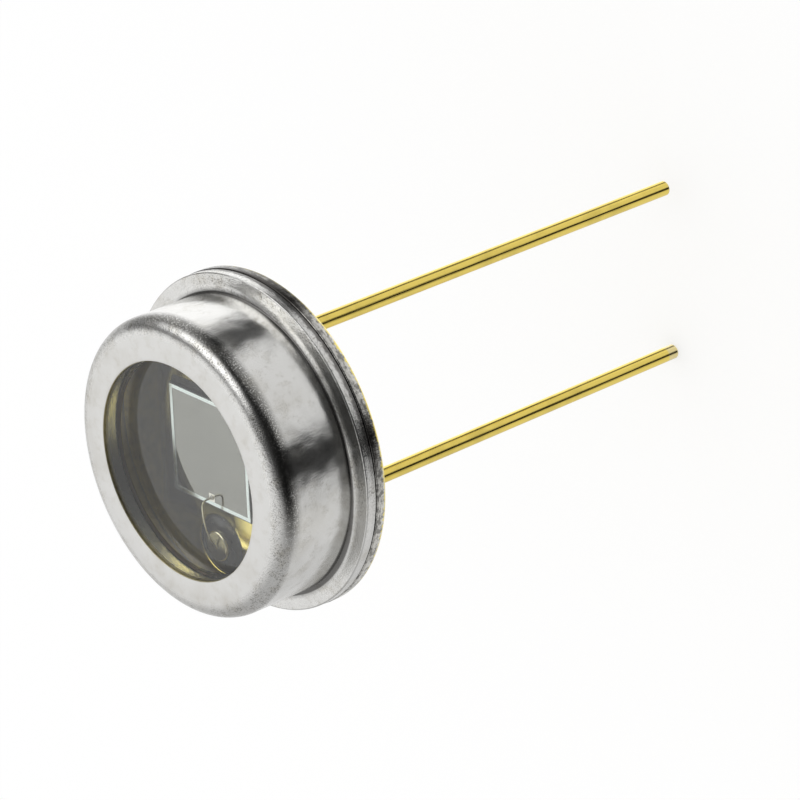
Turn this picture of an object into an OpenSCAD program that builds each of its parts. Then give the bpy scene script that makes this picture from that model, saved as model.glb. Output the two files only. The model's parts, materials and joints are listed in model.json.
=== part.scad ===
// Metal-can photodiode with a flat glass window, two leads and a sealed silicon die.
// Millimetres. +Z points out of the window and the leads run down -Z. The origin is the
// centre of the header's underside, which seats on a circuit board. The isolated anode
// lead stands on +X and the case lead, which is the cathode, on -X.

/* [Leads] */
// Diameter of the circle that both leads stand on
lead_circle_d = 5.08; // [4.6:0.02:5.6]
// Diameter of a lead
lead_d = 0.42; // [0.38:0.01:0.5]
// Length of the anode lead below the header
anode_l = 15.1; // [8:0.1:20]
// Length of the case lead below the header
cathode_l = 14.78; // [8:0.1:20]
// Thickness of a lead's plating, which the stretch inside the seal lacks
lead_plating_t = 0.005; // [0.002:0.001:0.01]
// Chamfer on the cut end of a lead
lead_tip_c = 0.03; // [0.01:0.01:0.08]
// Radius of the weld fillet where the case lead meets the header
weld_fillet_r = 0.16; // [0.08:0.01:0.25]

/* [Bonding post] */
// Room between the lead seal and the headed end of the anode lead
post_gap = 0.02; // [0.01:0.01:0.12]
// Diameter of the headed end
post_head_d = 0.84; // [0.7:0.01:1.0]
// Thickness of the headed end
post_head_t = 0.13; // [0.1:0.01:0.2]
// Edge radius of the headed end
post_edge_r = 0.07; // [0.02:0.01:0.08]

/* [Header] */
// Height of the platform's top above the underside
platform_h = 1.1; // [0.8:0.02:1.3]
// Edge radius of the platform
platform_edge_r = 0.03; // [0.02:0.01:0.15]
// Radius where the platform rises from the flange
platform_foot_r = 0.12; // [0.04:0.01:0.15]
// Thickness of the flange
flange_t = 0.33; // [0.25:0.01:0.45]
// Edge radius of the flange on its underside
flange_edge_r = 0.1; // [0.03:0.01:0.14]
// Edge radius of the flange beside the weld seam
flange_seam_r = 0.04; // [0.02:0.01:0.08]
// Width of the flange outside the cap's wall
rim_w = 0.54; // [0.48:0.01:0.7]

/* [Index tab] */
// Width of the tab
tab_w = 0.8; // [0.7:0.02:0.9]
// Length of the tab outside the flange
tab_l = 0.8; // [0.6:0.02:1.1]
// Corner radius of the tab
tab_corner_r = 0.12; // [0.05:0.01:0.2]
// Angle of the tab from the anode lead
tab_angle = -45; // [-60:1:-30]

/* [Lead seal] */
// Diameter of the glass seal around the anode lead
seal_d = 1.6; // [1.4:0.02:1.8]
// Metal left between the seal and the platform's wall
seal_margin = 0.41; // [0.2:0.01:0.5]
// Radius at the mouths of the seal's hole
seal_mouth_r = 0.06; // [0.03:0.01:0.08]
// Depth of the glass below the header's faces
seal_recess = 0.06; // [0.06:0.01:0.1]
// Radius of the glass meniscus that climbs the lead
seal_meniscus_r = 0.08; // [0.04:0.01:0.1]

/* [Cap] */
// Height of the cap's front above the header's underside
cap_front_h = 3.05; // [2.95:0.01:3.4]
// Sheet thickness of the cap
cap_wall = 0.28; // [0.2:0.01:0.34]
// Room between the header's platform and the cap's wall
cap_gap = 0.03; // [0.02:0.01:0.3]
// Outside radius of the cap's front corner
cap_corner_r = 0.5; // [0.4:0.01:0.6]
// Radius where the wall turns into the flange
cap_foot_r = 0.06; // [0.04:0.01:0.3]
// Radius inside the cap where the wall turns into the flange
cap_throat_r = 0.3; // [0.1:0.01:0.35]
// Step from the header's rim back to the cap's rim
cap_rim_step = 0.02; // [0.01:0.01:0.12]
// Edge radius of the cap's rim
cap_rim_r = 0.06; // [0.04:0.01:0.15]
// Height of the weld ring that holds the two flanges apart
weld_gap = 0.04; // [0.02:0.005:0.06]
// Width of the weld ring
weld_w = 0.15; // [0.1:0.01:0.2]
// Distance of the weld ring inside the cap's rim
weld_inset = 0.14; // [0.1:0.01:0.2]

/* [Window] */
// Diameter of the opening in the cap's front
window_d = 5.9; // [5.2:0.02:6.2]
// Edge radius of the opening
window_edge_r = 0.03; // [0.01:0.005:0.06]
// Thickness of the glass
glass_t = 1.15; // [0.9:0.01:1.2]
// Depth of the glass below the cap's front
glass_recess = 0.05; // [0.04:0.005:0.1]
// How far the glass reaches outside the opening, under the cap's front
glass_ledge = 0.09; // [0.04:0.01:0.2]
// Chamfer on the lower edge of the glass
glass_chamfer = 0.11; // [0.05:0.01:0.2]

/* [Die] */
// Side of the square silicon die
die_w = 3.05; // [2.5:0.05:3.4]
// Thickness of the die
die_t = 0.19; // [0.15:0.01:0.35]
// Distance from the die's edge to the lead seal
die_gap = 0.385; // [0.2:0.005:0.5]
// Thickness of the layer that bonds the die to the header
attach_t = 0.02; // [0.01:0.005:0.04]
// Width of that layer outside the die
attach_margin = 0.06; // [0.02:0.01:0.1]
// Thickness of the contact metal on the die
contact_t = 0.01; // [0.005:0.001:0.015]
// Width of the contact frame
contact_w = 0.1; // [0.05:0.01:0.12]
// Distance of the contact frame from the die's edge
contact_inset = 0.03; // [0.01:0.01:0.08]
// Side of the square bond pad
pad_w = 0.22; // [0.16:0.01:0.3]

/* [Bond wire] */
// Diameter of the wire
wire_d = 0.05; // [0.03:0.005:0.06]
// Diameter of the ball that is bonded to the pad
ball_d = 0.13; // [0.11:0.01:0.15]
// Height of that ball
ball_h = 0.04; // [0.03:0.005:0.05]
// Room between the top of the loop and the glass
loop_clearance = 0.17; // [0.12:0.01:0.2]
// Radius of the bend above the ball
loop_bend_r = 0.15; // [0.1:0.01:0.17]
// Radius of the long sweep down to the post
loop_sweep_r = 2.4; // [1.8:0.05:3]
// Length of the flattened stitch on the post
stitch_l = 0.16; // [0.1:0.01:0.2]
// Width of the stitch
stitch_w = 0.1; // [0.07:0.01:0.12]
// Height of the stitch
stitch_h = 0.025; // [0.02:0.005:0.03]

/* [Hidden] */
$fn = 96;

gold = "#d9bb5c";
nickel = "#c9cac8";

lead_x = lead_circle_d / 2;
lead_r = lead_d / 2;
bare_lead_r = lead_r - lead_plating_t;
seal_r = seal_d / 2;
platform_r = lead_x + seal_r + seal_margin;
cap_in_r = platform_r + cap_gap;
cap_r = cap_in_r + cap_wall;
header_r = cap_r + rim_w;
cap_rim_rad = header_r - cap_rim_step;
cap_foot_z = flange_t + weld_gap;
cap_flange_z = cap_foot_z + cap_wall;
cap_in_z = cap_front_h - cap_wall;
cap_in_corner_r = max(cap_corner_r - cap_wall, 0.05);
window_r = window_d / 2;
glass_top_z = cap_front_h - glass_recess;
glass_low_z = glass_top_z - glass_t;
die_x = lead_x - seal_r - die_gap - die_w / 2;
die_z = platform_h + attach_t;
die_top_z = die_z + die_t;
contact_top_z = die_top_z + contact_t;
contact_out = die_w / 2 - contact_inset;
contact_in = contact_out - contact_w;
pad_x = die_x + contact_in - pad_w / 2;
post_top_z = platform_h - seal_recess + seal_meniscus_r + post_gap + post_head_t;
wire_r = wire_d / 2;
wire_sides = 12;
loop_top_z = glass_low_z - loop_clearance - wire_r;
eps = 0.01;

// Two-dimensional half section of a disc, with its outer top edge rounded.
module disc_section(r, z0, z1, top_r) {
  translate([0, z0]) square([r - top_r, z1 - z0]);
  translate([0, z0]) square([r, z1 - z0 - top_r]);
  translate([r - top_r, z1 - top_r]) circle(top_r);
}

// Two-dimensional concave fillet in the corner at the origin, open towards +X and +Y.
module fillet_section(r) {
  difference() {
    translate([-eps, -eps]) square(r + eps);
    translate([r, r]) circle(r);
  }
}

module header_section() {
  difference() {
    disc_section(header_r, 0, flange_t, flange_seam_r);
    translate([header_r - flange_edge_r, 0]) difference() {
      translate([0, -eps]) square([flange_edge_r + eps, flange_edge_r + eps]);
      translate([0, flange_edge_r]) circle(flange_edge_r);
    }
  }
  disc_section(platform_r, 0, platform_h, platform_edge_r);
  translate([platform_r, flange_t]) fillet_section(platform_foot_r);
  translate([cap_rim_rad - weld_inset - weld_w, 0]) square([weld_w, flange_t + weld_gap]);
}

module index_tab() {
  flat_w = tab_w - 2 * tab_corner_r;
  rotate([0, 0, tab_angle]) linear_extrude(flange_t) {
    translate([cap_r, -tab_w / 2]) square([header_r + tab_l - tab_corner_r - cap_r, tab_w]);
    translate([cap_r, -flat_w / 2]) square([header_r + tab_l - cap_r, flat_w]);
    for (side = [-1, 1])
      translate([header_r + tab_l - tab_corner_r, side * flat_w / 2]) circle(tab_corner_r);
  }
}

// Hole for the lead seal, flared at both of the header's faces.
module seal_hole() {
  translate([lead_x, 0, 0]) rotate_extrude() {
    translate([0, -eps]) square([seal_r, platform_h + 2 * eps]);
    for (face = [0, 1])
      translate([seal_r, face * platform_h]) mirror([0, face]) fillet_section(seal_mouth_r);
  }
}

// Gold-plated base: flange, raised platform, weld ring and index tab in one stamping.
module header() {
  color(gold) difference() {
    union() {
      rotate_extrude() header_section();
      index_tab();
    }
    seal_hole();
  }
}

// Dark glass that holds the anode lead clear of the header.
module glass_seal() {
  low = seal_recess;
  high = platform_h - seal_recess;
  color("#3d3a33") translate([lead_x, 0, 0]) rotate_extrude() {
    translate([bare_lead_r, low]) square([seal_r - bare_lead_r, high - low]);
    translate([bare_lead_r, high]) difference() {
      translate([0, -eps]) square([seal_meniscus_r, seal_meniscus_r + eps]);
      translate([seal_meniscus_r, seal_meniscus_r]) circle(seal_meniscus_r);
    }
  }
}

// Half section of the plated stretch of a lead, from its cut end up to a height.
module lead_section(length, top) {
  polygon([
    [0, -length],
    [lead_r - lead_tip_c, -length],
    [lead_r, -length + lead_tip_c],
    [lead_r, top],
    [0, top]
  ]);
}

// Isolated lead, headed inside the can to take the bond wire.
module anode_lead() {
  head_z = post_top_z - post_head_t;
  color(gold) translate([lead_x, 0, 0]) {
    rotate_extrude() lead_section(anode_l, seal_recess);
    cylinder(h = head_z, r = bare_lead_r);
    rotate_extrude() disc_section(post_head_d / 2, head_z, post_top_z, post_edge_r);
  }
}

// Case lead, butt-welded to the underside of the header.
module cathode_lead() {
  color(gold) translate([-lead_x, 0, 0]) rotate_extrude() {
    lead_section(cathode_l, 0);
    translate([lead_r, 0]) mirror([0, 1]) difference() {
      translate([-eps, 0]) square([weld_fillet_r + eps, weld_fillet_r]);
      translate([weld_fillet_r, weld_fillet_r]) circle(weld_fillet_r);
    }
  }
}

// Thin bonding layer that squeezes out a little around the die.
module die_attach() {
  side = die_w + 2 * attach_margin;
  color("#8f8a80") translate([die_x, 0, platform_h]) linear_extrude(attach_t)
    square(side, center = true);
}

module die() {
  color("#5c6468") translate([die_x, 0, die_z]) linear_extrude(die_t)
    square(die_w, center = true);
}

// Metal frame around the light-sensitive area, with the bond pad inside its +X side.
module front_contact() {
  color("#dcebe8") translate([die_x, 0, die_top_z]) linear_extrude(contact_t) {
    difference() {
      square(2 * contact_out, center = true);
      square(2 * contact_in, center = true);
    }
    translate([contact_in - pad_w, -pad_w / 2]) square([pad_w + contact_w / 2, pad_w]);
  }
}

// Rings of a wire arc in the XZ plane: each is [x, z, angle of the outward normal].
function arc_rings(centre, radius, from, to, steps) = [
  for (i = [0 : steps])
    let (angle = from + (to - from) * i / steps)
      [centre.x + radius * cos(angle), centre.y + radius * sin(angle), angle]
];

// Round tube through a list of such rings.
module wire_tube(rings) {
  last = len(rings) - 1;
  points = [
    for (ring = rings, k = [0 : wire_sides - 1])
      let (turn = 360 * k / wire_sides, out = wire_r * cos(turn))
        [ring.x + out * cos(ring.z), wire_r * sin(turn), ring.y + out * sin(ring.z)]
  ];
  sides = [
    for (i = [0 : last - 1], k = [0 : wire_sides - 1])
      let (next = (k + 1) % wire_sides, row = i * wire_sides)
        [row + k, row + next, row + wire_sides + next, row + wire_sides + k]
  ];
  start = [for (k = [wire_sides - 1 : -1 : 0]) k];
  end = [for (k = [0 : wire_sides - 1]) last * wire_sides + k];
  polyhedron(points, concat(sides, [start, end]));
}

// Gold wire: it rises from the ball, bends over and sweeps down to the stitch on the post.
module bond_wire() {
  bend = [pad_x + loop_bend_r, loop_top_z - loop_bend_r];
  stitch_x = lead_x - stitch_l / 2;
  end = [lead_x, post_top_z + wire_r];
  // The sweep's circle passes through the stitch and touches the bend's circle from outside.
  to_end = end - bend;
  span = norm(to_end);
  reach = loop_sweep_r - loop_bend_r;
  along = (span * span + reach * reach - loop_sweep_r * loop_sweep_r) / (2 * span);
  aside = sqrt(reach * reach - along * along);
  heading = to_end / span;
  sweep = bend + along * heading - aside * [-heading.y, heading.x];
  meet = atan2(bend.y - sweep.y, bend.x - sweep.x);
  finish = atan2(end.y - sweep.y, end.x - sweep.x);
  sweep_rings = arc_rings(sweep, loop_sweep_r, meet, finish, 16);
  color("#e2c878") {
    translate([pad_x, 0, contact_top_z]) cylinder(h = ball_h, d = ball_d, $fn = 48);
    wire_tube(concat(
      [[pad_x, contact_top_z + ball_h / 2, 180]],
      arc_rings(bend, loop_bend_r, 180, meet, 8),
      [for (i = [1 : len(sweep_rings) - 1]) sweep_rings[i]]
    ));
    translate([stitch_x, 0, post_top_z]) rotate([90, 0, 0])
      linear_extrude(stitch_w, center = true)
        polygon([[0, 0], [stitch_l, 0], [stitch_l, stitch_h / 3], [0, stitch_h]]);
  }
}

module cap_section() {
  difference() {
    union() {
      disc_section(cap_r, cap_foot_z, cap_front_h, cap_corner_r);
      disc_section(cap_rim_rad, cap_foot_z, cap_flange_z, cap_rim_r);
      translate([cap_r, cap_flange_z]) fillet_section(cap_foot_r);
    }
    disc_section(cap_in_r, cap_foot_z - eps, cap_in_z, cap_in_corner_r);
    translate([0, cap_in_z - eps]) square([window_r, cap_wall + 2 * eps]);
    translate([cap_in_r, cap_foot_z]) fillet_section(cap_throat_r);
    translate([window_r, cap_front_h]) mirror([0, 1]) fillet_section(window_edge_r);
  }
}

// Nickel-plated cap drawn from sheet, welded to the header around its flange.
module cap() {
  color(nickel) rotate_extrude() cap_section();
}

// Glass disc fused into the opening and to the metal around it.
module window_glass() {
  glass_r = window_r + glass_ledge;
  color("#a9b7ba", 0.45) rotate_extrude() polygon([
    [0, glass_low_z],
    [glass_r - glass_chamfer, glass_low_z],
    [glass_r, glass_low_z + glass_chamfer],
    [glass_r, cap_in_z],
    [window_r, cap_in_z],
    [window_r, glass_top_z],
    [0, glass_top_z]
  ]);
}

header();
glass_seal();
anode_lead();
cathode_lead();
die_attach();
die();
front_contact();
bond_wire();
cap();
window_glass();
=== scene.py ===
"""Finishes a metal-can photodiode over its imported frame: pieces, materials and a white studio."""

import json
import math
import random

import bmesh
import bpy
from bpy.props import FloatProperty, FloatVectorProperty, PointerProperty
from mathutils import Matrix, Vector


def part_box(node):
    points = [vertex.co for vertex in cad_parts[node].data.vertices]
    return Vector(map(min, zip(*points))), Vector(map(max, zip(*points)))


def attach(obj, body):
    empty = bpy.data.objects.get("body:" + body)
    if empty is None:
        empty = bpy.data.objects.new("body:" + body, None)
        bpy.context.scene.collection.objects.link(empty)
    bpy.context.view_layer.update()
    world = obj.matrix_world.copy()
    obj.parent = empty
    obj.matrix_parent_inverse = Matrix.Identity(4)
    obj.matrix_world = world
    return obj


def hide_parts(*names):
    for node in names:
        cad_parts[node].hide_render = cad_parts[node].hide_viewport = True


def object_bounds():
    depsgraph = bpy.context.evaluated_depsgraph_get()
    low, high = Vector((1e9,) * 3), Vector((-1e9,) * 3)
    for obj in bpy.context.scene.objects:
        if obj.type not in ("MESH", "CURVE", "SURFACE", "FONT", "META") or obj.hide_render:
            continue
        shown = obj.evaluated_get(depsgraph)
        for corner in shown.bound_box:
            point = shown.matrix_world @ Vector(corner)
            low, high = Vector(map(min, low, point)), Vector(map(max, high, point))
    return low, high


bl_info = {
    "name": "Metal-can photodiode",
    "version": (1, 0, 0),
    "blender": (4, 5, 0),
    "location": "View3D > Sidebar > Photodiode",
    "description": "Builds a windowed metal-can photodiode, its finishes and a white studio",
    "category": "Add Mesh",
}

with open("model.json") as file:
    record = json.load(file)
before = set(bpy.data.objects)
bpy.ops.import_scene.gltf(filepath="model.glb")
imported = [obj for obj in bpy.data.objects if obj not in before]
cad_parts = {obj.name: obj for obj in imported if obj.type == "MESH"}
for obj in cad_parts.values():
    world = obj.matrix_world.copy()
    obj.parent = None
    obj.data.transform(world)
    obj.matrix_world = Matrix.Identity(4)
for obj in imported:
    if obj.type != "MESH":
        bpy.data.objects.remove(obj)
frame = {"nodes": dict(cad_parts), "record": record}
CAD_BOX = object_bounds()
BOX = {node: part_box(node) for node in frame["nodes"]}
MOUNT = {mount["name"]: mount["dims"] for mount in frame["record"]["mounts"]}
MM = 0.001
# A glass face that lies on metal is sunk this far into it, so that the two never coincide.
SINK = 0.01 * MM
# Steps around the axis of each turned piece.
CAP_STEPS, HEADER_STEPS, SEAL_STEPS, LEAD_STEPS, BALL_STEPS = 320, 288, 96, 64, 48
# Faces that meet at more than this angle show a sharp edge.
SHARP_ANGLE = math.radians(35)
WHITE = (1.0, 1.0, 1.0, 1.0)


# Sizes and colours


def length(name, description, default):
    """A length that a user can change, in metres."""
    return FloatProperty(name=name, description=description, default=default, precision=5, unit="LENGTH")


def colour(name, description, default):
    """A colour that a user can change, in linear light."""
    return FloatVectorProperty(
        name=name, description=description, default=default, size=3, min=0, max=1, subtype="COLOR")


class PhotodiodeSizes(bpy.types.PropertyGroup):
    """Sizes of the can and of what it holds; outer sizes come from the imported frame."""

    header_r: length("Header radius", "Outer radius of the header's flange", BOX["header"][1].x)
    platform_z: length("Platform height", "Top of the header's platform", BOX["header"][1].z)
    platform_r: length("Platform radius", "Radius of the raised platform", 3.75 * MM)
    platform_edge: length("Platform edge", "Edge radius of the platform", 0.03 * MM)
    platform_foot: length("Platform foot", "Radius where the platform rises", 0.12 * MM)
    flange_t: length("Flange thickness", "Thickness of the header's flange", 0.33 * MM)
    flange_edge: length("Flange edge", "Edge radius on the flange's underside", 0.1 * MM)
    seam_edge: length("Seam edge", "Edge radius of the flange beside the weld", 0.04 * MM)
    weld_inset: length("Weld inset", "Distance of the weld inside the cap's rim", 0.14 * MM)
    weld_w: length("Weld width", "Width of the weld ring", 0.15 * MM)
    tab_w: length("Tab width", "Width of the index tab", 0.8 * MM)
    tab_l: length("Tab length", "Length of the index tab outside the flange", 0.8 * MM)
    tab_corner: length("Tab corner", "Corner radius of the index tab", 0.12 * MM)
    tab_angle: FloatProperty(
        name="Tab angle", description="Angle of the index tab from the anode lead",
        default=math.radians(-45), subtype="ANGLE")

    lead_x: length(
        "Lead offset", "Distance of each lead from the axis", MOUNT["leads"]["pcd_mm"] / 2 * MM)
    lead_r: length("Lead radius", "Radius of a lead", MOUNT["leads"]["stud_r_mm"] * MM)
    lead_tip: length("Lead tip", "Chamfer on the cut end of a lead", 0.03 * MM)
    post_t: length("Post head", "Thickness of the bonding post's head", 0.13 * MM)
    post_edge: length("Post edge", "Edge radius of the bonding post's head", 0.07 * MM)
    seal_mouth: length("Seal mouth", "Radius at the mouths of the seal's hole", 0.06 * MM)
    seal_climb: length("Seal climb", "Height that the sealing glass climbs the lead", 0.08 * MM)

    cap_r: length("Cap radius", "Radius of the cap's wall", MOUNT["cap_barrel"]["r_mm"] * MM)
    cap_wall: length("Cap sheet", "Sheet thickness of the cap", 0.28 * MM)
    cap_corner: length("Cap corner", "Radius of the cap's front corner", 0.5 * MM)
    cap_foot: length("Cap foot", "Radius where the wall turns into the flange", 0.05 * MM)
    cap_spread: length("Cap spread", "Radius where that bend runs out on the flange", 0.4 * MM)
    cap_throat: length("Cap throat", "Radius inside the cap at its flange", 0.3 * MM)
    cap_rim: length("Cap rim", "Edge radius of the cap's flange", 0.04 * MM)
    cap_crown: length("Cap crown", "Fall of the cap's front from its opening to its corner", 0.012 * MM)
    window_r: length("Window radius", "Radius of the opening in the cap's front", 2.95 * MM)
    window_edge: length("Window edge", "Edge radius of the opening", 0.03 * MM)
    glass_chamfer: length("Glass chamfer", "Chamfer on the lower edge of the window", 0.11 * MM)

    wire_r: length("Wire radius", "Radius of the bond wire", 0.025 * MM)
    ball_r: length("Ball radius", "Radius of the ball bond", 0.065 * MM)
    ball_h: length("Ball height", "Height of the ball bond", 0.04 * MM)
    loop_bend: length("Loop bend", "Radius of the bend above the ball", 0.15 * MM)
    loop_sweep: length("Loop sweep", "Radius of the sweep down to the post", 2.4 * MM)
    stitch_l: length("Stitch length", "Length of the flattened stitch", 0.16 * MM)
    stitch_w: length("Stitch width", "Width of the flattened stitch", 0.1 * MM)
    stitch_h: length("Stitch height", "Height of the flattened stitch", 0.025 * MM)


class PhotodiodeColours(bpy.types.PropertyGroup):
    """Base colours of the finishes."""

    nickel: colour("Nickel", "Plating of the cap", (0.79, 0.785, 0.765))
    tarnish: colour("Tarnish", "Warm dull patches in the nickel", (0.6, 0.575, 0.515))
    # Painted shade: this dark colour paints the shadow by the seam between the flanges, the shade at the
    # wall's foot and a darker stretch of the header's edge.
    weld: colour("Weld stain", "Dark heat stain along the welded seam", (0.075, 0.07, 0.065))
    # Besides the specks, this colour paints a dark reflection in a grainy band below the front corner.
    pit_and_shade: colour("Pits", "Dark specks in the nickel where the sheet was bent", (0.07, 0.068, 0.06))
    lining: colour("Lining", "Inside of the cap, dulled by the glass firing", (0.64, 0.58, 0.36))
    gold: colour("Gold", "Plating of the header", (0.98, 0.82, 0.27))
    sheared: colour("Sheared edge", "Worn edge of the header's flange", (0.78, 0.765, 0.72))
    lead_gold: colour("Lead gold", "Plating of the leads", (0.95, 0.74, 0.17))
    # Painted dark reflection on the post's top.
    post_top_shade: colour("Pressed gold", "Dull top of the bonding post", (0.24, 0.21, 0.1))
    seal_glass: colour("Sealing glass", "Dark glass around the anode lead", (0.03, 0.028, 0.022))
    silicon: colour("Silicon", "Coated face of the die", (0.355, 0.35, 0.32))
    saw_cut: colour("Saw cut", "Sawn sides and border of the die", (0.12, 0.125, 0.13))
    contact: colour("Contact metal", "Frame and pad on the die", (0.93, 1.0, 0.97))
    wire: colour("Wire gold", "Bond wire and the rim of its post", (1.0, 0.93, 0.66))
    ball: colour("Ball", "Pale ball and pad at the wire's start", (1.0, 0.97, 0.88))
    bond: colour("Die bond", "Silver-filled adhesive under the die", (0.16, 0.155, 0.145))
    glass: colour("Window glass", "Tint of the window", (0.97, 0.985, 0.975))
    # Painted shade on the window's lower chamfer.
    glass_edge_shade: colour("Glass edge", "Stained chamfer of the window", (0.16, 0.12, 0.1))
    floor: colour("Floor", "Pale floor and backdrop", (1.0, 1.0, 1.0))


class PhotodiodeView(bpy.types.PropertyGroup):
    """Camera of the main picture."""

    place: FloatVectorProperty(
        name="Place", description="Where the camera stands",
        default=(-0.04397, 0.07219, 0.05969), size=3, subtype="TRANSLATION")
    look: FloatVectorProperty(
        name="Look", description="Direction that the camera looks in",
        default=(0.41829, -0.67812, -0.60431), size=3, subtype="DIRECTION")
    top: FloatVectorProperty(
        name="Top", description="Direction that points up in the picture",
        default=(-0.90774, -0.28854, -0.30455), size=3, subtype="DIRECTION")
    lens: FloatProperty(
        name="Lens", description="Focal length of the camera", default=179.96, unit="CAMERA")


# Shader graphs


class Value:
    """An output socket; arithmetic on it adds Math nodes to its graph."""

    def __init__(self, graph, socket):
        self.graph = graph
        self.socket = socket

    def math(self, operation, *operands):
        return self.graph.node("ShaderNodeMath", {"operation": operation}, dict(enumerate(operands)))

    def __add__(self, other):
        return self.math("ADD", self, other)

    __radd__ = __add__

    def __sub__(self, other):
        return self.math("SUBTRACT", self, other)

    def __rsub__(self, other):
        return self.math("SUBTRACT", other, self)

    def __mul__(self, other):
        return self.math("MULTIPLY", self, other)

    __rmul__ = __mul__

    def __truediv__(self, other):
        return self.math("DIVIDE", self, other)

    def __rtruediv__(self, other):
        return self.math("DIVIDE", other, self)

    def __abs__(self):
        return self.math("ABSOLUTE", self)


class Graph:
    """A node tree that is written as expressions."""

    def __init__(self, tree):
        self.tree = tree
        tree.nodes.clear()

    def node(self, kind, settings=None, sockets=None, output=0):
        """Adds a node: settings first, then its sockets' values or links."""
        made = self.tree.nodes.new(kind)
        for key, setting in (settings or {}).items():
            setattr(made, key, setting)
        for key, value in (sockets or {}).items():
            if isinstance(value, Value):
                self.tree.links.new(value.socket, made.inputs[key])
            else:
                made.inputs[key].default_value = value
        if isinstance(output, tuple):
            return [Value(self, made.outputs[i]) for i in output]
        return Value(self, made.outputs[output]) if made.outputs else made

    def point(self):
        """The point on the object, in millimetres."""
        metres = self.node("ShaderNodeTexCoord", output="Object")
        return self.node("ShaderNodeVectorMath", {"operation": "SCALE"}, {0: metres, "Scale": 1 / MM})

    def around(self, point, across, along):
        """The point wrapped on a cylinder, scaled around the axis and along it."""
        x, y, z = self.split(point)
        radius = self.length(x, y)
        return self.join(x / radius * across, y / radius * across, z * along)

    def from_edge(self, point, node):
        """How far a point lies inside the sides of a node's box, in millimetres."""
        low, high = (corner / MM for corner in BOX[node])
        x, y, _ = self.split(point)
        across = x.math("MINIMUM", x - low.x, high.x - x)
        return x.math("MINIMUM", across, y.math("MINIMUM", y - low.y, high.y - y))

    def split(self, vector):
        """The three parts of a vector."""
        return self.node("ShaderNodeSeparateXYZ", sockets={0: vector}, output=(0, 1, 2))

    def join(self, x, y, z):
        """A vector of three parts."""
        return self.node("ShaderNodeCombineXYZ", sockets={0: x, 1: y, 2: z})

    def length(self, x, y):
        """The length of a flat vector, such as the radius from the axis."""
        return x.math("SQRT", x * x + y * y)

    def noise(self, vector, scale, detail=3.0, roughness=0.5):
        """Soft noise around one half."""
        return self.node(
            "ShaderNodeTexNoise", sockets={
                "Vector": vector, "Scale": scale, "Detail": detail, "Roughness": roughness})

    def ramp(self, value, low, high, start=0.0, end=1.0):
        """Goes smoothly from start to end while the value goes from low to high."""
        return self.node(
            "ShaderNodeMapRange", {"interpolation_type": "SMOOTHSTEP"},
            {"Value": value, "From Min": low, "From Max": high, "To Min": start, "To Max": end})

    def stain_and_shade(self, point, none, full):
        """Painted shade by the seam between the flanges, for the gap's shadow and a dark reflection:
        ragged, from one height to another and mostly on one side.
        """
        x, _, z = self.split(point)
        ragged = z + (self.noise(self.around(point, 22.0, 6.0), 1.0, 4.0, 0.65) - 0.5) * 0.22
        return self.ramp(ragged, none, full) * self.ramp(x, 0.4, -2.0, 0.12, 1.0)

    def mix(self, factor, first, second):
        """A colour between two."""
        sockets = {"Factor": factor}
        for key, shade in ((6, first), (7, second)):
            sockets[key] = shade if isinstance(shade, Value) else (*shade, 1.0)
        return self.node("ShaderNodeMix", {"data_type": "RGBA"}, sockets, output=2)

    def fade(self, factor, shade, share):
        """A colour that falls to a share of itself."""
        return self.mix(factor, shade, scaled(shade, share))

    def bump(self, height, depth, under=None):
        """A normal bent by a height field that is this deep, in millimetres."""
        sockets = {"Strength": 1.0, "Distance": depth * MM, "Height": height}
        if under:
            sockets["Normal"] = under
        return self.node("ShaderNodeBump", sockets=sockets)

    def close(self, **sockets):
        """Feeds a Principled shader, whose socket names are given with _ for a space."""
        named = {key.replace("_", " "): value for key, value in sockets.items()}
        if not isinstance(named["Base Color"], Value):
            named["Base Color"] = (*named["Base Color"], 1.0)
        surface = self.node("ShaderNodeBsdfPrincipled", sockets=named)
        self.node("ShaderNodeOutputMaterial", sockets={"Surface": surface})


def scaled(shade, share):
    """A colour made darker or lighter."""
    return [share * c for c in shade]


def new_material(name):
    """A material and its empty graph."""
    material = bpy.data.materials.new(name)
    material.use_nodes = True
    return material, Graph(material.node_tree)


# Finishes. Heights, radii and depths in them are in millimetres, angles are from the anode lead.


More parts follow.
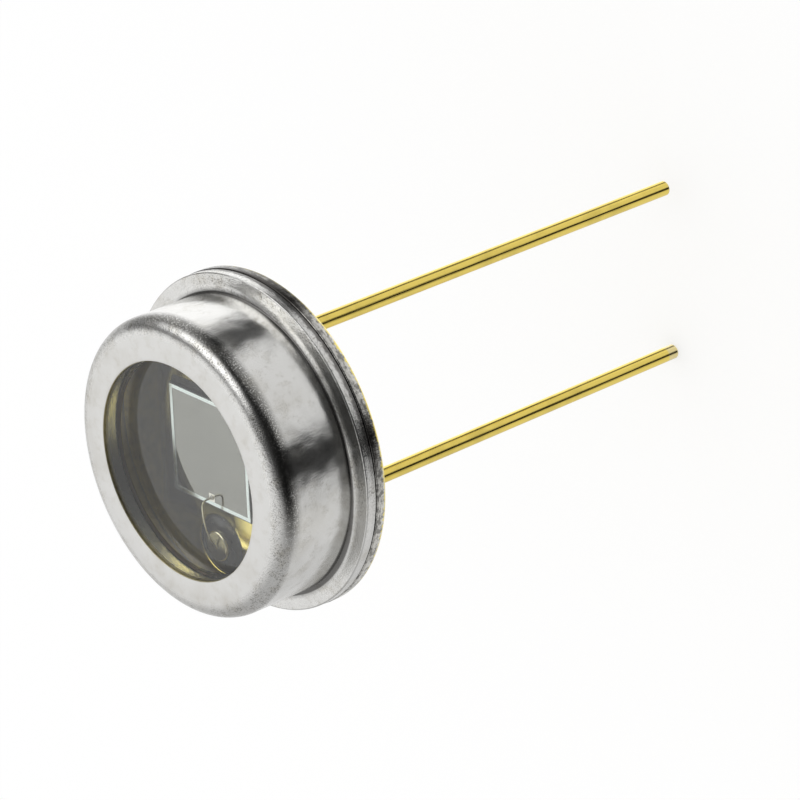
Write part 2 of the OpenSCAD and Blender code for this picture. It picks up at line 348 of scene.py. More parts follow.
def nickel_finish(colours):
    """Satin nickel on drawn sheet, with grain on the bends and a dull lining, and with painted shade by
    the seam, at the wall's foot and in a band below the front corner.
    """
    material, g = new_material("nickel_plating")
    point = g.point()
    x, y, z = g.split(point)
    radius = g.length(x, y)
    lining = g.ramp(radius, 3.9, 3.86) * g.ramp(z, 2.86, 2.82)
    inside = z.math("MAXIMUM", lining, g.ramp(radius, 2.97, 2.955))
    front = g.ramp(z, 2.9, 3.03) * g.ramp(radius, 3.9, 3.45)
    wall = g.ramp(z, 2.75, 2.45) * g.ramp(z, 0.68, 0.74)
    bends = (1.0 - front) * (1.0 - wall) * (1.0 - inside)
    grain = g.noise(point, 25.0, 3.0, 0.65)
    cloud = g.noise(point, 1.1, 3.0, 0.55)
    blotch = g.noise(point, 2.6, 5.0, 0.65)
    drawn = g.noise(g.around(point, 16.0, 1.1), 1.0, 4.0, 0.6)
    stain_and_shade = g.ramp(cloud, 0.45, 0.75) * 0.3 + g.ramp(blotch, 0.48, 0.7) * (0.3 + bends * 0.25)
    # Painted dark reflection on the side at about 145 degrees: a grainy dark band below the front corner
    # and darker specks on the flange.
    side = x * -0.2025 + y * 0.141
    shoulder = g.ramp(z, 2.32, 2.62) * g.ramp(z, 2.92, 2.78)
    shoulder = shoulder * g.ramp(side, 0.15, 0.65) * g.ramp(grain, 0.28, 0.52)
    speck_and_shade_zone = z.math("MAXIMUM", g.ramp(z, 0.3, 1.2), g.ramp(side, 0.2, 0.8))
    # Dark grain specks on the bends and the wall; on the flange they are stronger on that side, as
    # painted shade.
    pits_and_shade = g.ramp(grain, 0.46, 0.66) * (bends * g.ramp(blotch, 0.38, 0.62, 0.2, 0.75) * speck_and_shade_zone
                                       + wall * g.ramp(blotch, 0.5, 0.62) * 0.16)
    # Painted dark reflection: the grainy dark band below the front corner.
    pits_and_shade = z.math("MAXIMUM", pits_and_shade, shoulder * 0.8)
    metal = g.mix(pits_and_shade, g.mix(stain_and_shade, colours.nickel, colours.tarnish), colours.pit_and_shade)
    fired = g.ramp(g.noise(point, 5.0, 4.0, 0.65), 0.4, 0.7)
    lined = g.fade(fired * 0.6, colours.lining, 0.7)
    # Painted shade on the cap's rim by the gap between the flanges.
    seam = g.ramp(radius, 4.4, 4.5) * g.stain_and_shade(point, 0.52, 0.42) * 0.8
    # Painted shade in the crease where the wall meets the flange, wider towards the anode lead.
    wide = g.ramp(x, 0.0, 2.5)
    crease_shade = g.ramp(z - wide * 0.12, 0.8, 0.72) * g.ramp(radius - wide * 0.06, 4.13, 4.09)
    crease_shade = crease_shade * (1.0 - inside) * (0.85 - wide * 0.1)
    base = g.mix(z.math("MAXIMUM", seam, crease_shade), g.mix(inside, metal, lined), colours.weld)
    satin = inside * 0.18 + front * 0.21 + wall * (0.05 + (drawn - 0.5) * 0.14)
    rough = 0.14 + satin + (cloud - 0.5) * 0.06
    dents = g.bump(g.noise(point, 1.4, 1.0) * (1.0 - front) * (1.0 - inside), 0.024)
    waves = g.bump(drawn * wall, 0.004, dents)
    normal = g.bump(grain * (0.25 + bends * 0.75) * (1.0 - inside), 0.006, waves)
    g.close(Base_Color=base, Metallic=1.0, Roughness=rough, Normal=normal)
    return material


def header_finish(colours):
    """Gold plating with adhesive bleed by the die, worn to a scored edge on the flange, with painted
    shade along that edge.
    """
    material, g = new_material("gold_plating")
    point = g.point()
    x, y, z = g.split(point)
    radius = g.length(x, y)
    grain = g.noise(point, 18.0, 3.0, 0.6)
    cloud = g.noise(point, 1.6, 3.0, 0.55)
    edge = g.ramp(radius, 4.5, 4.58)
    ragged = z + (g.noise(g.around(point, 40.0, 3.0), 1.0, 3.0, 0.7) - 0.5) * 0.26
    worn = g.ramp(radius, 4.1, 4.2) * g.ramp(ragged, 0.06, 0.12)
    scores = g.noise(g.around(point, 110.0, 2.5), 1.0, 3.0, 0.7)
    streaks = g.noise(g.around(point, 26.0, 9.0), 1.0, 4.0, 0.65)
    gold = g.fade(g.ramp(cloud, 0.4, 0.75), colours.gold, 0.86)
    rim = g.ramp(radius, 3.1, 3.4) * g.ramp(z, 0.9, 1.0)
    mottle = g.ramp(g.noise(point, 7.0, 4.0, 0.65), 0.5, 0.68) * rim
    gold = g.mix(mottle * 0.35, gold, scaled(colours.gold, 0.4))
    away = (cloud - 0.5) * 0.3 - g.from_edge(point, "die")
    bleed = g.ramp(away, 0.75, 0.45) * g.ramp(y, 1.2, 0.5)
    gold = g.mix(bleed * g.ramp(z, 0.9, 1.0), gold, scaled(colours.gold, 0.22))
    silver = g.fade(g.ramp(streaks, 0.42, 0.6) * 0.8, colours.sheared, 0.22)
    # Painted shade along the flange's edge by the seam: one stretch is left unshaded and the stretch
    # beside it is painted darker.
    unshaded_stretch = g.ramp(x, -1.5, -2.2) * g.ramp(y, 1.5, 2.3)
    shaded_stretch = g.ramp(x, -1.8, -3.2) * g.ramp(y, 2.4, 1.6) * (0.4 + streaks * 0.7)
    dulled = x.math("MAXIMUM", g.stain_and_shade(point, 0.13, 0.24) * (1.0 - unshaded_stretch * 0.75), shaded_stretch)
    base = g.mix(edge * dulled, g.mix(worn, gold, silver), colours.weld)
    satin = (rim + g.ramp(z, 0.8, 0.5) + cloud - 0.5) * 0.08
    rough = 0.12 + satin + edge * (scores - 0.5) * 0.2
    normal = g.bump(grain * g.ramp(z, 0.9, 0.6), 0.0012, g.bump(scores * edge, 0.006))
    g.close(Base_Color=base, Metallic=1.0, Roughness=rough, Normal=normal)
    return material


def lead_finish(colours):
    """Gold-plated drawn wire with lengthwise lines and cut ends, and a painted dark reflection on the
    rougher top of the post.
    """
    material, g = new_material("gold_lead")
    point = g.point()
    x, y, z = g.split(point)
    lines = g.noise(g.join(x * 26.0, y * 26.0, z * 0.35), 1.0, 3.0, 0.6)
    cloud = g.noise(point, 1.3, 3.0, 0.6)
    cut = g.ramp(z, -14.70, -14.77)
    gold = g.fade(g.ramp(cloud, 0.42, 0.75), colours.lead_gold, 0.85)
    # Painted dark reflection: the post's top is painted dark, and it is also rougher.
    post_top_shade = g.ramp(z, 1.255, 1.265)
    wire = g.mix(cut * 0.35, g.mix(g.ramp(z, 0.9, 1.0), gold, colours.wire), colours.sheared)
    base = g.mix(post_top_shade * 0.85, wire, colours.post_top_shade)
    rough = post_top_shade * 0.1 + 0.13 + (cloud - 0.5) * 0.08 + lines * 0.05
    normal = g.bump(lines * g.ramp(z, 0.5, 0.0), 0.003)
    g.close(Base_Color=base, Metallic=1.0, Roughness=rough, Normal=normal)
    return material


def seal_finish(colours):
    """Dark, glossy sealing glass with a few small bubbles."""
    material, g = new_material("seal_glass")
    point = g.point()
    cloud = g.noise(point, 3.0, 2.0)
    bubbles = g.node("ShaderNodeTexVoronoi", {"feature": "F1"}, {"Vector": point, "Scale": 7.0})
    base = g.fade(g.ramp(cloud, 0.35, 0.7), colours.seal_glass, 2.1)
    normal = g.bump(g.ramp(bubbles, 0.0, 0.2), 0.006)
    g.close(Base_Color=base, Roughness=0.08 + cloud * 0.08, Normal=normal, IOR=1.55)
    return material


def silicon_finish(colours):
    """Coated silicon face that mirrors the window, with sawn sides and border."""
    material, g = new_material("silicon")
    point = g.point()
    x, y, z = g.split(point)
    chips = g.noise(point, 30.0, 3.0, 0.65) * 0.02
    border = g.ramp(g.from_edge(point, "die") + chips, 0.035, 0.02)
    cloud = g.noise(point, 0.7, 2.0)
    coated = g.fade(cloud, colours.silicon, 0.9)
    base = g.mix(border, coated, colours.saw_cut)
    saw = g.noise(g.join(x * 8.0, y * 8.0, z * 90.0), 1.0, 2.0)
    normal = g.bump(saw * border, 0.003)
    g.close(Base_Color=base, Metallic=1.0, Roughness=0.03 + border * 0.3, Normal=normal)
    return material


def contact_finish(colours):
    """Bright evaporated metal with a fine grain and a cream bond pad."""
    material, g = new_material("contact_metal")
    point = g.point()
    x, y, _ = g.split(point)
    grain = g.noise(point, 45.0, 2.0, 0.6)
    pad = g.ramp(abs(y), 0.13, 0.11) * g.ramp(g.from_edge(point, "die"), 0.12, 0.14)
    metal = g.fade(g.ramp(grain, 0.45, 0.8), colours.contact, 0.88)
    base = g.mix(pad * g.ramp(x, 0.8, 0.9), metal, colours.ball)
    rough = 0.08 + grain * 0.1
    g.close(Base_Color=base, Metallic=1.0, Roughness=rough, Normal=g.bump(grain, 0.0006))
    return material


def wire_finish(colours):
    """Bright gold wire with a paler, duller ball."""
    material, g = new_material("gold_wire")
    point = g.point()
    x, _, z = g.split(point)
    grain = g.noise(point, 40.0, 2.0, 0.6)
    ball = g.ramp(x, 1.21, 1.18) * g.ramp(z, 1.42, 1.38)
    drawn = g.fade(g.ramp(grain, 0.4, 0.8), colours.wire, 0.85)
    base = g.mix(ball, drawn, colours.ball)
    rough = 0.16 + grain * 0.14 + ball * 0.2
    g.close(Base_Color=base, Metallic=1.0, Roughness=rough, Normal=g.bump(grain, 0.0008))
    return material


def bond_finish(colours):
    """Silver-filled adhesive: dull, grainy and slightly glittering."""
    material, g = new_material("die_bond")
    point = g.point()
    flakes = g.node("ShaderNodeTexVoronoi", {"feature": "F1"}, {"Vector": point, "Scale": 38.0})
    lumps = g.noise(point, 9.0, 3.0, 0.6)
    base = g.fade(g.ramp(lumps, 0.35, 0.7), colours.bond, 0.7)
    normal = g.bump(lumps, 0.008, g.bump(flakes, 0.003))
    g.close(Base_Color=base, Metallic=g.ramp(flakes, 0.4, 0.1) * 0.8, Roughness=0.45 + lumps * 0.15,
            Normal=normal)
    return material


def glass_finish(colours):
    """Clear glass with a faint waviness, a trace of dust, a ground rim and painted shade on its lower
    chamfer.
    """
    material, g = new_material("window_glass")
    point = g.point()
    x, y, z = g.split(point)
    radius = g.length(x, y)
    wave = g.noise(point, 0.5, 1.0)
    dust = g.ramp(g.noise(point, 26.0, 2.0, 0.7), 0.7, 0.8)
    side = g.ramp(radius, 2.97, 3.0)
    # Painted shade: the lower chamfer is dark brown glass, and it is also rougher.
    chamfer = g.ramp(z, 1.99, 1.95) * g.ramp(z + radius * 0.5, 3.31, 3.34)
    clear = g.fade(dust * 0.12, colours.glass, 0.8)
    base = g.mix(chamfer, clear, colours.glass_edge_shade)
    rough = dust * 0.05 + side * 0.02 + chamfer * 0.3
    ground = g.noise(point, 9.0, 3.0, 0.6)
    normal = g.bump(ground * side, 0.01, g.bump(wave, 0.004))
    g.close(Base_Color=base, Roughness=rough, Normal=normal, IOR=1.47, Transmission_Weight=1.0)
    return material


# Shapes


def arc(centre, radius, start, end, steps=12):
    """Points of an arc in a half section, from one angle to another in degrees."""
    turns = [math.radians(start + (end - start) * i / steps) for i in range(steps + 1)]
    return [(centre[0] + radius * math.cos(t), centre[1] + radius * math.sin(t)) for t in turns]


def supported(section, reach=0.02 * MM):
    """A closed half section with points close to both ends of each straight run."""
    points = []
    for here, there in zip(section, section[1:] + section[:1]):
        points.append(here)
        run = Vector(there) - Vector(here)
        if run.length > 4 * reach:
            step = run.normalized() * reach
            points += [tuple(Vector(here) + step), tuple(Vector(there) - step)]
    return points


def revolve(bm, section, segments, axis=(0.0, 0.0)):
    """Turns a closed half section about a vertical axis and adds it to a mesh."""
    rings = []
    for radius, z in supported(section):
        on_axis = radius <= 1e-9
        turns = [2 * math.pi * k / segments for k in range(1 if on_axis else segments)]
        rings.append([bm.verts.new((axis[0] + radius * math.cos(t), axis[1] + radius * math.sin(t), z))
                      for t in turns])
    for near, far in zip(rings, rings[1:] + rings[:1]):
        for k in range(segments):
            corners = [near[k % len(near)], near[(k + 1) % len(near)],
                       far[(k + 1) % len(far)], far[k % len(far)]]
            corners = list(dict.fromkeys(corners))
            if len(corners) > 2:
                bm.faces.new(corners)


def loft(bm, rings):
    """Skins closed rings of equal count and caps both ends."""
    rows = [[bm.verts.new(point) for point in ring] for ring in rings]
    count = len(rows[0])
    for near, far in zip(rows, rows[1:]):
        for k in range(count):
            bm.faces.new((near[k], near[(k + 1) % count], far[(k + 1) % count], far[k]))
    bm.faces.new(rows[0][::-1])
    bm.faces.new(rows[-1])


def to_mesh(bm, name):
    """Closes a mesh in the making: outward normals, smooth faces and sharp true edges."""
    bmesh.ops.recalc_face_normals(bm, faces=bm.faces)
    mesh = bpy.data.meshes.new(name)
    bm.to_mesh(mesh)
    bm.free()
    smooth(mesh)
    return mesh


def smooth(mesh):
    """Shades a mesh smooth between its sharp edges."""
    mesh.polygons.foreach_set("use_smooth", [True] * len(mesh.polygons))
    mesh.set_sharp_from_angle(angle=SHARP_ANGLE)


def add_piece(name, mesh, material, slot, *nodes):
    """Puts a piece in the scene in place of CAD nodes, with its material. The slot is not used."""
    piece = bpy.data.objects.new(name, mesh)
    bpy.context.scene.collection.objects.link(piece)
    mesh.materials.clear()
    mesh.materials.append(material)
    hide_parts(*nodes)
    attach(piece, "root")
    return piece


def dress_node(node, material):
    """Gives a CAD node that keeps its own shape its finish."""
    mesh = frame["nodes"][node].data
    mesh.materials.clear()
    mesh.materials.append(material)


def combined(base, other, operation):
    """A mesh that is the union or difference of two meshes."""
    pair = [bpy.data.objects.new(mesh.name, mesh) for mesh in (base, other)]
    for part in pair:
        bpy.context.scene.collection.objects.link(part)
    cut = pair[0].modifiers.new(operation.lower(), "BOOLEAN")
    cut.object, cut.operation, cut.solver = pair[1], operation, "EXACT"
    graph = bpy.context.evaluated_depsgraph_get()
    made = bpy.data.meshes.new_from_object(pair[0].evaluated_get(graph))
    for part in pair:
        bpy.data.objects.remove(part)
    if not made.polygons:
        raise RuntimeError(f"the {operation.lower()} of {base.name} and {other.name} is empty")
    smooth(made)
    return made


# Operators


class PHOTODIODE_OT_header(bpy.types.Operator):
    """Make the stamped header with its platform, weld ring, index tab and seal hole"""

    bl_idname = "photodiode.header"
    bl_label = "Header"

    # Broken edge of the tab, and how far the tool that cuts the seal's hole reaches past it.
    BREAK = 0.03 * MM
    PAST = 0.05 * MM

    def execute(self, context):
        size = context.scene.photodiode_sizes
        rim, top, platform = size.header_r, size.flange_t, size.platform_r
        weld_out = BOX["cap"][1].x - size.weld_inset
        weld_in = weld_out - size.weld_w
        weld_z = BOX["cap"][0].z
        section = [
            (0.0, 0.0),
            *arc((rim - size.flange_edge, size.flange_edge), size.flange_edge, -90, 0),
            *arc((rim - size.seam_edge, top - size.seam_edge), size.seam_edge, 0, 90, 6),
            (weld_out, top), (weld_out, weld_z), (weld_in, weld_z), (weld_in, top),
            *arc((platform + size.platform_foot, top + size.platform_foot),
                 size.platform_foot, 270, 180, 8),
            *arc((platform - size.platform_edge, size.platform_z - size.platform_edge),
                 size.platform_edge, 0, 90),
            (0.0, size.platform_z),
        ]
        body = bmesh.new()
        revolve(body, section, HEADER_STEPS)
        tab = bmesh.new()
        self.tab(tab, size)
        hole = bmesh.new()
        self.seal_hole(hole, size)
        mesh = combined(to_mesh(body, "header_disc"), to_mesh(tab, "index_tab"), "UNION")
        mesh = combined(mesh, to_mesh(hole, "seal_hole"), "DIFFERENCE")
        mesh.name = "header_stamping"
        add_piece("header_stamping", mesh, header_finish(context.scene.photodiode_colours),
                  "gold_plating", "header")
        return {"FINISHED"}

    def tab(self, bm, size):
        """A plate with rounded corners and softly broken edges."""
        tip, half, corner = size.header_r + size.tab_l, size.tab_w / 2, size.tab_corner
        outline = [(size.cap_r, -half), *arc((tip - corner, corner - half), corner, -90, 0, 8),
                   *arc((tip - corner, half - corner), corner, 0, 90, 8), (size.cap_r, half)]
        turn = Matrix.Rotation(size.tab_angle, 4, "Z")
        soft, top = self.BREAK, size.flange_t
        rings = []
        for z, inset in ((0.0, soft), (soft, 0.0), (top - soft, 0.0), (top, soft)):
            k = (half - inset) / half
            rings.append([
                turn @ Vector((x if x == size.cap_r else x - inset, y * k, z)) for x, y in outline])
        loft(bm, rings)

    def seal_hole(self, bm, size):
        """The tool that cuts the seal's hole, with rounded mouths."""
        low, high = BOX["glass_seal"]
        radius, mouth, over = (high.x - low.x) / 2, size.seal_mouth, self.PAST
        section = [
            (0.0, -over), (radius + mouth, -over),
            *arc((radius + mouth, mouth), mouth, 270, 180, 6),
            *arc((radius + mouth, size.platform_z - mouth), mouth, 180, 90, 6),
            (radius + mouth, size.platform_z + over), (0.0, size.platform_z + over),
        ]
        revolve(bm, section, SEAL_STEPS, (size.lead_x, 0.0))


class PHOTODIODE_OT_leads(bpy.types.Operator):
    """Make the anode lead with its bonding post and the welded case lead"""

    bl_idname = "photodiode.leads"
    bl_label = "Leads"

    def execute(self, context):
        size = context.scene.photodiode_sizes
        material = lead_finish(context.scene.photodiode_colours)
        low, high = BOX["anode_lead"]
        head_r, head_z, edge = (high.x - low.x) / 2, high.z - size.post_t, size.post_edge
        anode = [
            *self.tip(size, low.z), (size.lead_r, head_z), (head_r, head_z),
            *arc((head_r - edge, high.z - edge), edge, 0, 90), (0.0, high.z),
        ]
        low, high = BOX["cathode_lead"]
        climb = (high.x - low.x) / 2 - size.lead_r
        cathode = [
            *self.tip(size, low.z), *arc((size.lead_r + climb, -climb), climb, 180, 90),
            (size.lead_r + climb, SINK), (0.0, SINK),
        ]
        for name, node, section, x in (("anode_pin", "anode_lead", anode, size.lead_x),
                                       ("cathode_pin", "cathode_lead", cathode, -size.lead_x)):
            bm = bmesh.new()
            revolve(bm, section, LEAD_STEPS, (x, 0.0))
            add_piece(name, to_mesh(bm, name), material, "gold_lead", node)
        return {"FINISHED"}

    def tip(self, size, z):
        """Section of a lead's cut end, from the axis to the wire's surface."""
        soft = size.lead_tip
        return [(0.0, z), *arc((size.lead_r - soft, z + soft), soft, -90, 0, 5)]


class PHOTODIODE_OT_seal(bpy.types.Operator):
    """Make the glass seal that climbs the anode lead and the wall of its hole"""

    bl_idname = "photodiode.seal"
    bl_label = "Lead seal"

    def execute(self, context):
        size = context.scene.photodiode_sizes
        low, high = BOX["glass_seal"]
        climb = size.seal_climb
        outer, inner = (high.x - low.x) / 2 + SINK, size.lead_r - SINK
        bottom, top = low.z, high.z - climb
        lip = climb / 2
        section = [
            (inner, bottom), (outer, bottom), (outer, top + lip),
            *arc((outer - SINK - lip, top + lip), lip, 0, -90, 6),
            *arc((size.lead_r + climb, top + climb), climb, 270, 180, 8), (inner, top + climb),
        ]
        bm = bmesh.new()
        revolve(bm, section, SEAL_STEPS, (size.lead_x, 0.0))
        add_piece("lead_seal", to_mesh(bm, "lead_seal"), seal_finish(context.scene.photodiode_colours),
                  "seal_glass", "glass_seal")
        return {"FINISHED"}


class PHOTODIODE_OT_die(bpy.types.Operator):
    """Finish the silicon die and its contact metal, and make the adhesive under it"""

    bl_idname = "photodiode.die"
    bl_label = "Die"

    # How far each ring of the bead spreads past the die's sides and climbs them, as shares.
    BEAD = ((1.0, 0.0), (0.82, 0.28), (0.45, 0.62), (0.0, 1.0), (-0.4, 1.0))
    BEAD_CORNER = 0.04 * MM
    # The bead climbs to the first height, and its swell times the second one comes on top.
    BEAD_CLIMB, BEAD_SWELL = 0.06 * MM, 0.03 * MM

    def execute(self, context):
        colours = context.scene.photodiode_colours
        dress_node("die", silicon_finish(colours))
        dress_node("front_contact", contact_finish(colours))
        bm = bmesh.new()
        self.bead(bm, context.scene.photodiode_sizes)
        add_piece("adhesive_bead", to_mesh(bm, "adhesive_bead"), bond_finish(colours),
                  "die_bond", "die_attach")
        return {"FINISHED"}

    def bead(self, bm, size):
        """An uneven bead that squeezed out around the die and wets its sides."""
        low, high = BOX["die"]
        middle, half = (low + high) / 2, (high.x - low.x) / 2
        margin = BOX["die_attach"][1].x - high.x
        rng = random.Random(7)
        swell = [(rng.uniform(0.1, 0.3), rng.randint(3, 17), rng.uniform(0, 6.28)) for _ in range(6)]
        outline = self.square(half, self.BEAD_CORNER)
        rings = []
        for spread, climb in self.BEAD:
            ring = []
            for i, (x, y, nx, ny) in enumerate(outline):
                turn = 2 * math.pi * i / len(outline)
                wave = 1 + sum(a * math.sin(n * turn + p) for a, n, p in swell) * 0.5
                out = 2 * margin * spread * wave
                ring.append((middle.x + x + nx * out, middle.y + y + ny * out,
                             size.platform_z + climb * (self.BEAD_CLIMB + self.BEAD_SWELL * wave)))
            rings.append(ring)
        loft(bm, rings)

    def square(self, half, corner, side=36, bend=6):
        """Points and normals around a square with slightly rounded corners."""
        points = []
        for k in range(4):
            turn = Matrix.Rotation(math.radians(90 * k), 2)
            for i in range(side):
                y = (half - corner) * (2 * i / side - 1)
                points.append((*(turn @ Vector((half, y))), *(turn @ Vector((1.0, 0.0)))))
            for i in range(bend):
                a = math.radians(90 * i / bend)
                normal = Vector((math.cos(a), math.sin(a)))
                place = Vector((half - corner, half - corner)) + normal * corner
                points.append((*(turn @ place), *(turn @ normal)))
        return points


class PHOTODIODE_OT_wire(bpy.types.Operator):
    """Make the bond wire with its ball on the pad and its stitch on the post"""

    bl_idname = "photodiode.wire"
    bl_label = "Bond wire"

    # Shares of the stitch's length, width and height at each of its sections.
    STITCH = ((0.0, 0.5, 1.0), (0.3, 0.85, 1.0), (0.6, 1.0, 0.7), (0.85, 0.9, 0.4), (1.0, 0.5, 0.25))

    def execute(self, context):
        size = context.scene.photodiode_sizes
        low, high = BOX["bond_wire"]
        pad_x, pad_z = low.x + size.ball_r, BOX["front_contact"][1].z
        post_z = BOX["anode_lead"][1].z
        bm = bmesh.new()
        bulge, crown, neck_z = 0.4 * size.ball_h, 0.95 * size.ball_h, pad_z + 1.5 * size.ball_h
        ball = [
            (0.0, pad_z), *arc((size.ball_r - bulge, pad_z + bulge), bulge, -90, 90, 8),
            (1.3 * size.wire_r, pad_z + crown), (size.wire_r, neck_z), (0.0, neck_z),
        ]
        revolve(bm, ball, BALL_STEPS, (pad_x, 0.0))
        path = self.path(size, pad_x, pad_z, high.z - size.wire_r, size.lead_x, post_z + size.wire_r)
        self.tube(bm, path, size.wire_r)
        self.stitch(bm, size, size.lead_x, post_z)
        add_piece("gold_wire", to_mesh(bm, "gold_wire"), wire_finish(context.scene.photodiode_colours),
                  "gold_wire", "bond_wire")
        return {"FINISHED"}

    def path(self, size, pad_x, pad_z, top_z, end_x, end_z):
        """Points up from the ball, over a tight bend and down one long sweep to the post."""
        bend = Vector((pad_x + size.loop_bend, top_z - size.loop_bend))
        end = Vector((end_x, end_z))
        reach, span = size.loop_sweep - size.loop_bend, (end - bend).length
        along = (span * span + reach * reach - size.loop_sweep ** 2) / (2 * span)
        aside = math.sqrt(reach * reach - along * along)
        heading = (end - bend) / span
        sweep = bend + along * heading - aside * Vector((-heading.y, heading.x))
        meet = math.degrees(math.atan2(bend.y - sweep.y, bend.x - sweep.x))
        finish = math.degrees(math.atan2(end.y - sweep.y, end.x - sweep.x))
        return [(pad_x, pad_z + size.ball_h / 2), *arc(bend, size.loop_bend, 180, meet, 16),
                *arc(sweep, size.loop_sweep, meet, finish, 32)[1:]]

    def tube(self, bm, path, radius, sides=16):
        """A round tube along a path in the XZ plane."""
        rings = []
        for i, (x, z) in enumerate(path):
            before, after = Vector(path[max(i - 1, 0)]), Vector(path[min(i + 1, len(path) - 1)])
            along = (after - before).normalized()
            ring = []
            for k in range(sides):
                t = 2 * math.pi * k / sides
                out = radius * math.cos(t)
                ring.append((x - along.y * out, radius * math.sin(t), z + along.x * out))
            rings.append(ring)
        loft(bm, rings)

    def stitch(self, bm, size, x, z):
        """A flattened tail, pressed thin at its far end."""
        rings = []
        for share, wide, tall in self.STITCH:
            px = x + size.stitch_l * (share - 0.5)
            half, high = size.stitch_w * wide / 2, size.stitch_h * tall
            rings.append([(px, half * math.cos(t), z + high * max(0.0, math.sin(t)))
                          for t in (math.pi * k / 6 for k in range(12))])
        loft(bm, rings)


class PHOTODIODE_OT_cap(bpy.types.Operator):
    """Make the drawn cap with its rounded corner, opening and welded flange"""

    bl_idname = "photodiode.cap"
    bl_label = "Cap"

    # The front turns into a wide bend at one angle and into the tight corner at another, in degrees.
    # Both bends are given as shares of the corner's radius.
    BEND_AT, CORNER_AT = 86, 72
    WIDE, TIGHT = 1.6, 0.9
    # The foot bends tightly out of the wall by this angle and then runs out flat on the flange.
    FOOT_TURN = 60
    # Steps over the front between its opening and its bend.
    FRONT_STEPS = 8

    def execute(self, context):
        size = context.scene.photodiode_sizes
        low, high = BOX["cap"]
        front, foot, rim, wall = high.z, low.z, high.x, size.cap_r
        shoulder, inner, under = foot + size.cap_wall, wall - size.cap_wall, front - size.cap_wall
        mouth = size.window_edge
        inside = size.cap_corner - size.cap_wall
        lip = arc((size.window_r + mouth, front - mouth), mouth, 180, 90, 6)
        bent = self.corner(size, wall, front)
        (lip_r, _), (bent_r, bent_z) = lip[-1], bent[0]
        shares = [i / self.FRONT_STEPS for i in range(1, self.FRONT_STEPS)]
        fall = [(lip_r + (bent_r - lip_r) * k, front - (front - bent_z) * k ** 3) for k in shares]
        section = [
            (size.window_r, under), *lip, *fall, *bent, *self.foot(size, wall, shoulder),
            *arc((rim - size.cap_rim, shoulder - size.cap_rim), size.cap_rim, 90, 0, 12),
            (rim, foot),
            *arc((inner + size.cap_throat, foot + size.cap_throat), size.cap_throat, 270, 180, 10),
            *arc((inner - inside, under - inside), inside, 0, 90, 10),
        ]
        bm = bmesh.new()
        revolve(bm, section, CAP_STEPS)
        add_piece("drawn_cap", to_mesh(bm, "drawn_cap"), nickel_finish(context.scene.photodiode_colours),
                  "nickel_plating", "cap")
        return {"FINISHED"}

    def corner(self, size, wall, front):
        """Section of the wide bend at the front and the tight corner that follows it."""
        wide, tight = self.WIDE * size.cap_corner, self.TIGHT * size.cap_corner
        start, meet = math.radians(self.BEND_AT), math.radians(self.CORNER_AT)
        middle = (wall - tight - (wide - tight) * math.cos(meet),
                  front - size.cap_crown - wide * math.sin(start))
        tight_middle = (wall - tight, middle[1] + (wide - tight) * math.sin(meet))
        return [*arc(middle, wide, self.BEND_AT, self.CORNER_AT, 6),
                *arc(tight_middle, tight, self.CORNER_AT, 0, 20)[1:]]

    def foot(self, size, wall, shoulder):
        """Section of the tight bend at the foot and the spread that follows it."""
        bend, spread, leave = size.cap_foot, size.cap_spread, math.radians(self.FOOT_TURN)
        turned, over = 180 + self.FOOT_TURN, spread - bend
        middle = (wall + bend, shoulder + bend + over * (1 - math.sin(leave)))
        spread_middle = (wall + bend + over * math.cos(leave), shoulder + spread)
        return [*arc(middle, bend, 180, turned, 10), *arc(spread_middle, spread, turned, 270, 10)[1:]]


class PHOTODIODE_OT_window(bpy.types.Operator):
    """Make the thick glass disc that is fused into the cap's opening"""

    bl_idname = "photodiode.window"
    bl_label = "Window"

    def execute(self, context):
        size = context.scene.photodiode_sizes
        low, high = BOX["window_glass"]
        side, under = high.x, BOX["cap"][1].z - size.cap_wall
        section = [
            (0.0, low.z), (side - size.glass_chamfer, low.z), (side, low.z + size.glass_chamfer),
            (side, under + SINK), (size.window_r + SINK, under + SINK), (size.window_r + SINK, high.z),
            (0.0, high.z),
        ]
        bm = bmesh.new()
        revolve(bm, section, CAP_STEPS)
        add_piece("fused_window", to_mesh(bm, "fused_window"),
                  glass_finish(context.scene.photodiode_colours), "window_glass", "window_glass")
        return {"FINISHED"}


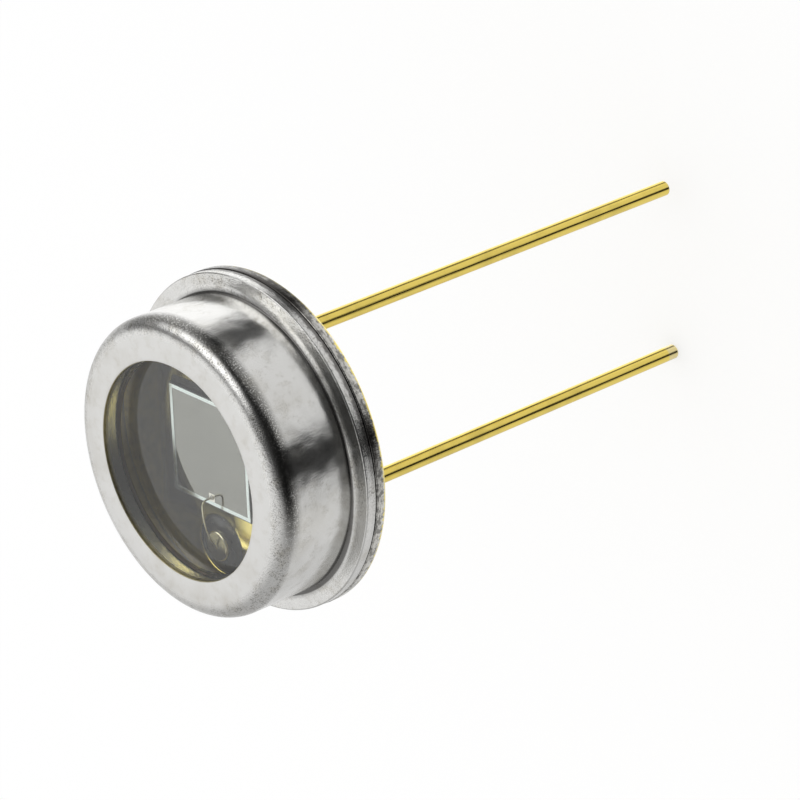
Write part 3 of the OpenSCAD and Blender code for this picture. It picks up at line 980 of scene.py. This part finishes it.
class PHOTODIODE_OT_stage(bpy.types.Operator):
    """Make the pale floor, the white studio around the part and the camera"""

    bl_idname = "photodiode.stage"
    bl_label = "Stage"

    # Level of the tent as metal and glass mirror it. Each card then gives its azimuth, elevation,
    # half width, half height, softness and roll in degrees, and the light that it adds.
    TENT = 0.77
    CARDS = (
        (5, 8, 46, 38, 13, 7, -0.28),
        (117, 27, 42, 36, 19, -32, -0.73),
        (208, 46, 28, 17, 9, -49, 0.85),
        (255, 27, 6, 35, 20, 4, -0.64),
        (171, 82, 17, 12, 11, -10, -0.59),
        (84, -14, 18, 26, 18, 59, -0.68),
        (190, -7, 14, 38, 12, 23, -0.64),
        (241, -54, 35, 32, 12, -34, 0.45),
        (206, -40, 10, 14, 6, 0, -0.6),
        (95, -40, 10, 14, 5, 0, -0.75),
        (290, 44, 20, 13, 12, 57, 0.25),
    )

    # Least light that a mirrored direction gives, and share of plain white in the floor as seen.
    DARKEST = 0.02
    FLOOR_WHITE = 0.6
    # Half side of the floor and its drop below the leads, in metres, and the sensor in millimetres.
    FLOOR_REACH = 0.5
    FLOOR_DROP = 0.02 * MM
    SENSOR = 36.0

    def execute(self, context):
        scene = context.scene
        scene.view_settings.view_transform = "Standard"
        self.floor(scene)
        self.studio(scene)
        self.camera(scene)
        return {"FINISHED"}

    def floor(self, scene):
        """A pale matte floor under the leads' ends."""
        reach, z = self.FLOOR_REACH, CAD_BOX[0].z - self.FLOOR_DROP
        corners = [(-reach, -reach, z), (reach, -reach, z), (reach, reach, z), (-reach, reach, z)]
        mesh = bpy.data.meshes.new("floor")
        mesh.from_pydata(corners, [], [(0, 1, 2, 3)])
        floor = bpy.data.objects.new("floor", mesh)
        scene.collection.objects.link(floor)
        material, g = new_material("pale_floor")
        tone = (*scene.photodiode_colours.floor, 1.0)
        seen = g.node("ShaderNodeLightPath", output="Is Camera Ray")
        matte = g.node("ShaderNodeBsdfDiffuse", sockets={"Color": tone})
        white = g.node("ShaderNodeEmission", sockets={"Color": WHITE})
        surface = g.node("ShaderNodeMixShader", sockets={0: seen * self.FLOOR_WHITE, 1: matte, 2: white})
        g.node("ShaderNodeOutputMaterial", sockets={"Surface": surface})
        mesh.materials.append(material)
        floor.visible_glossy = False

    def studio(self, scene):
        """A white tent with soft dark gaps, seen by metal and glass; plain white to the camera."""
        world = bpy.data.worlds.new("studio")
        world.use_nodes = True
        scene.world = world
        g = Graph(world.node_tree)
        direction = g.node("ShaderNodeTexCoord", output="Generated")
        tent = self.TENT
        for *card, gain in self.CARDS:
            tent = self.card(g, direction, *card) * gain + tent
        mirrored = g.node("ShaderNodeLightPath", output="Is Glossy Ray")
        light = mirrored * tent.math("MAXIMUM", tent, self.DARKEST) + (1.0 - mirrored)
        surface = g.node("ShaderNodeBackground", sockets={"Color": WHITE, "Strength": light})
        g.node("ShaderNodeOutputWorld", sockets={"Surface": surface})

    def card(self, g, direction, azimuth, elevation, wide, high, soft, roll):
        """How much of a soft-edged card covers a direction, from 0 to 1."""
        turn = (Matrix.Rotation(math.radians(azimuth), 3, "Z")
                @ Matrix.Rotation(math.radians(-elevation), 3, "Y")
                @ Matrix.Rotation(math.radians(roll), 3, "X"))
        depth, u, v = (
            g.node("ShaderNodeVectorMath", {"operation": "DOT_PRODUCT"},
                   {0: direction, 1: axis}, "Value")
            for axis in turn.col)
        cover = g.ramp(depth, 0.0, 0.2)
        for offset, half in ((u, wide), (v, high)):
            tilt = abs(offset / depth)
            cover = cover * g.ramp(tilt, math.tan(math.radians(half + soft)),
                                   math.tan(math.radians(max(half - soft, 0))))
        return cover

    def camera(self, scene):
        """The camera of the main picture."""
        view = scene.photodiode_view
        data = bpy.data.cameras.new("camera")
        data.lens, data.sensor_width = view.lens, self.SENSOR
        data.clip_start, data.clip_end = 1 * MM, 10.0
        camera = bpy.data.objects.new("camera", data)
        scene.collection.objects.link(camera)
        back = -Vector(view.look).normalized()
        right = Vector(view.top).cross(back).normalized()
        turn = Matrix((right, back.cross(right), back)).transposed().to_4x4()
        camera.matrix_world = Matrix.Translation(view.place) @ turn
        scene.camera = camera


class PHOTODIODE_PT_panel(bpy.types.Panel):
    """Lists the photodiode's pieces, sizes and colours"""

    bl_label = "Photodiode"
    bl_idname = "PHOTODIODE_PT_panel"
    bl_space_type = "VIEW_3D"
    bl_region_type = "UI"
    bl_category = "Photodiode"

    def draw(self, context):
        layout = self.layout
        for operator in OPERATORS:
            layout.operator(operator.bl_idname)
        for group in (context.scene.photodiode_sizes, context.scene.photodiode_colours,
                      context.scene.photodiode_view):
            box = layout.box()
            for key in group.__annotations__:
                box.prop(group, key)


GROUPS = {
    "photodiode_sizes": PhotodiodeSizes,
    "photodiode_colours": PhotodiodeColours,
    "photodiode_view": PhotodiodeView,
}
OPERATORS = (
    PHOTODIODE_OT_header,
    PHOTODIODE_OT_seal,
    PHOTODIODE_OT_leads,
    PHOTODIODE_OT_die,
    PHOTODIODE_OT_wire,
    PHOTODIODE_OT_cap,
    PHOTODIODE_OT_window,
    PHOTODIODE_OT_stage,
)
CLASSES = (*GROUPS.values(), *OPERATORS, PHOTODIODE_PT_panel)


def register():
    for cls in CLASSES:
        bpy.utils.register_class(cls)
    for key, group in GROUPS.items():
        setattr(bpy.types.Scene, key, PointerProperty(type=group))


def unregister():
    for key in GROUPS:
        delattr(bpy.types.Scene, key)
    for cls in reversed(CLASSES):
        bpy.utils.unregister_class(cls)


def main():
    register()
    for operator in OPERATORS:
        group, name = operator.bl_idname.split(".")
        getattr(getattr(bpy.ops, group), name)()


if __name__ == "__main__":
    main()
